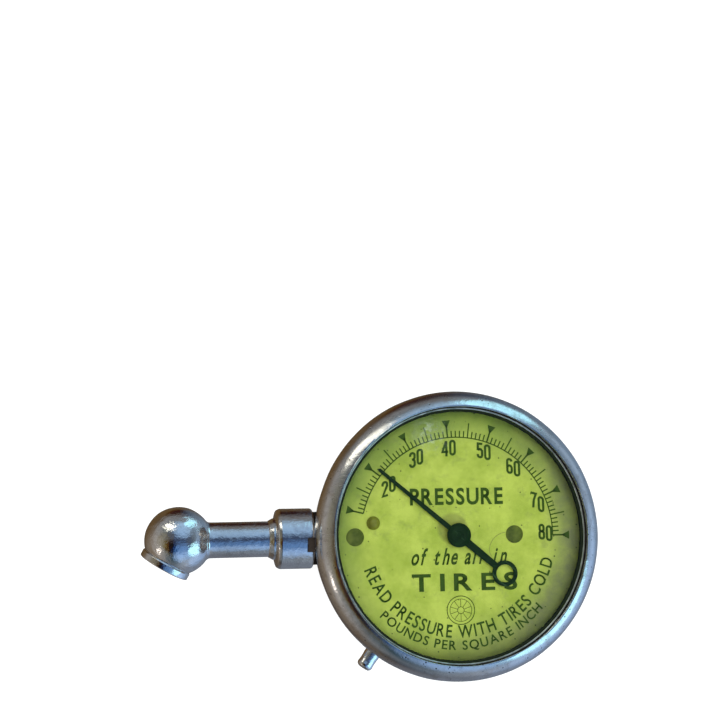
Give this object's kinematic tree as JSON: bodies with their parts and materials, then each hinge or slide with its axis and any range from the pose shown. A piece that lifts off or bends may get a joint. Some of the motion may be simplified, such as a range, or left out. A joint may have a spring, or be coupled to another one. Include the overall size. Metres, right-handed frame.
{
  "type": "tire pressure gauge",
  "caption": "Pocket dial tire pressure gauge: round case, curved-tube movement, stem with ball-foot chuck and a release pin that frees the held reading.",
  "frame": {"origin": "centre of the flat case back, on the pointer's axis", "axes": "+Z out of the dial, +X to the dial's three o'clock side, so the stem and chuck run along -X; +Y to twelve o'clock"},
  "size_m": [0.085, 0.0536, 0.0188],
  "materials": {
    "nickel_plate": "worn nickel plate over brass, satin to bright",
    "bright_nickel": "bright nickel",
    "brass": "turned brass, a little tarnished",
    "bronze": "drawn bronze, browned",
    "steel": "plain steel",
    "blued_steel": "blued spring steel",
    "dial_paint": "aged yellow-green dial paint with dark print",
    "pointer_paint": "dark green-black paint",
    "lens_glass": "clear flat lens",
    "rubber": "black rubber",
    "leather": "oiled leather"
  },
  "bodies": {
    "root": {"case_shell": "nickel_plate", "bezel_ring": "nickel_plate", "lens_gasket": "leather", "lens": "lens_glass", "lens_snap_ring": "bright_nickel", "dial_plate": "dial_paint", "dial_screw_left": "steel", "dial_screw_right": "steel", "dial_post": "brass", "stop_pin": "bronze", "socket_block": "brass", "back_screw_1": "steel", "back_screw_2": "steel", "stem_body": "nickel_plate", "neck_washer": "leather", "ball_head": "nickel_plate", "chuck_cap": "nickel_plate", "chuck_washer": "rubber", "depressor_pin": "brass", "check_valve_seat": "brass", "check_valve_spring": "steel", "release_bush": "brass", "release_spring": "steel", "lower_plate": "brass", "upper_plate": "brass", "pillar_right": "brass", "pillar_lower": "brass", "upper_screw_1": "steel", "upper_screw_2": "steel", "lower_screw_1": "steel", "lower_screw_2": "steel", "lower_screw_3": "steel", "hairspring_stud": "brass", "hairspring": "blued_steel"},
    "pointer_body": {"pinion_arbor": "steel", "hairspring_collet": "brass", "pointer": "pointer_paint", "pointer_hub": "pointer_paint"},
    "sector_body": {"sector_gear": "brass", "sector_arbor": "steel", "tail_pin": "steel"},
    "tube_body": {"bourdon_tube": "bronze", "tube_tip": "brass", "tip_pin": "steel"},
    "link_body": {"link": "brass"},
    "check_poppet_body": {"check_valve_poppet": "brass"},
    "release_body": {"release_plunger": "nickel_plate", "release_pad": "rubber"}
  },
  "joints": [
    {"name": "pointer_turn", "type": "hinge", "parent": "root", "child": "pointer_body", "pos_m": [0, 0, 0.015], "axis": [0, 0, 1], "range_deg": [-144, 25], "deforming": ["hairspring"]},
    {"name": "sector_turn", "type": "hinge", "parent": "root", "child": "sector_body", "pos_m": [0.00376, -0.01034, 0.0065], "axis": [0, 0, 1], "range_deg": [-3, 16.2]},
    {"name": "tube_flex", "type": "hinge", "parent": "root", "child": "tube_body", "pos_m": [-0.01884, 0.00505, 0.0075], "axis": [0, 0, 1], "range_deg": [-0.5, 2.65]},
    {"name": "link_turn", "type": "hinge", "parent": "tube_body", "child": "link_body", "pos_m": [-0.00214, -0.01666, 0.0077], "axis": [0, 0, 1], "range_deg": [-1.7, 0.35]},
    {"name": "release_press", "type": "slide", "parent": "root", "child": "release_body", "axis": [0.5807, 0.8141, 0], "range_m": [0, 0.0012], "stiffness_N_per_m": 200, "springref_m": -0.002, "deforming": ["release_spring"]},
    {"name": "check_valve_lift", "type": "slide", "parent": "root", "child": "check_poppet_body", "axis": [1, 0, 0], "range_m": [0, 0.0006], "stiffness_N_per_m": 50, "springref_m": -0.001, "deforming": ["check_valve_spring"]}
  ],
  "couplings": [
    {"joint": "sector_turn", "follows": "pointer_turn", "ratio": -0.11111},
    {"joint": "tube_flex", "follows": "pointer_turn", "ratio": -0.018},
    {"joint": "link_turn", "follows": "pointer_turn", "ratio": 0.01134}
  ]
}
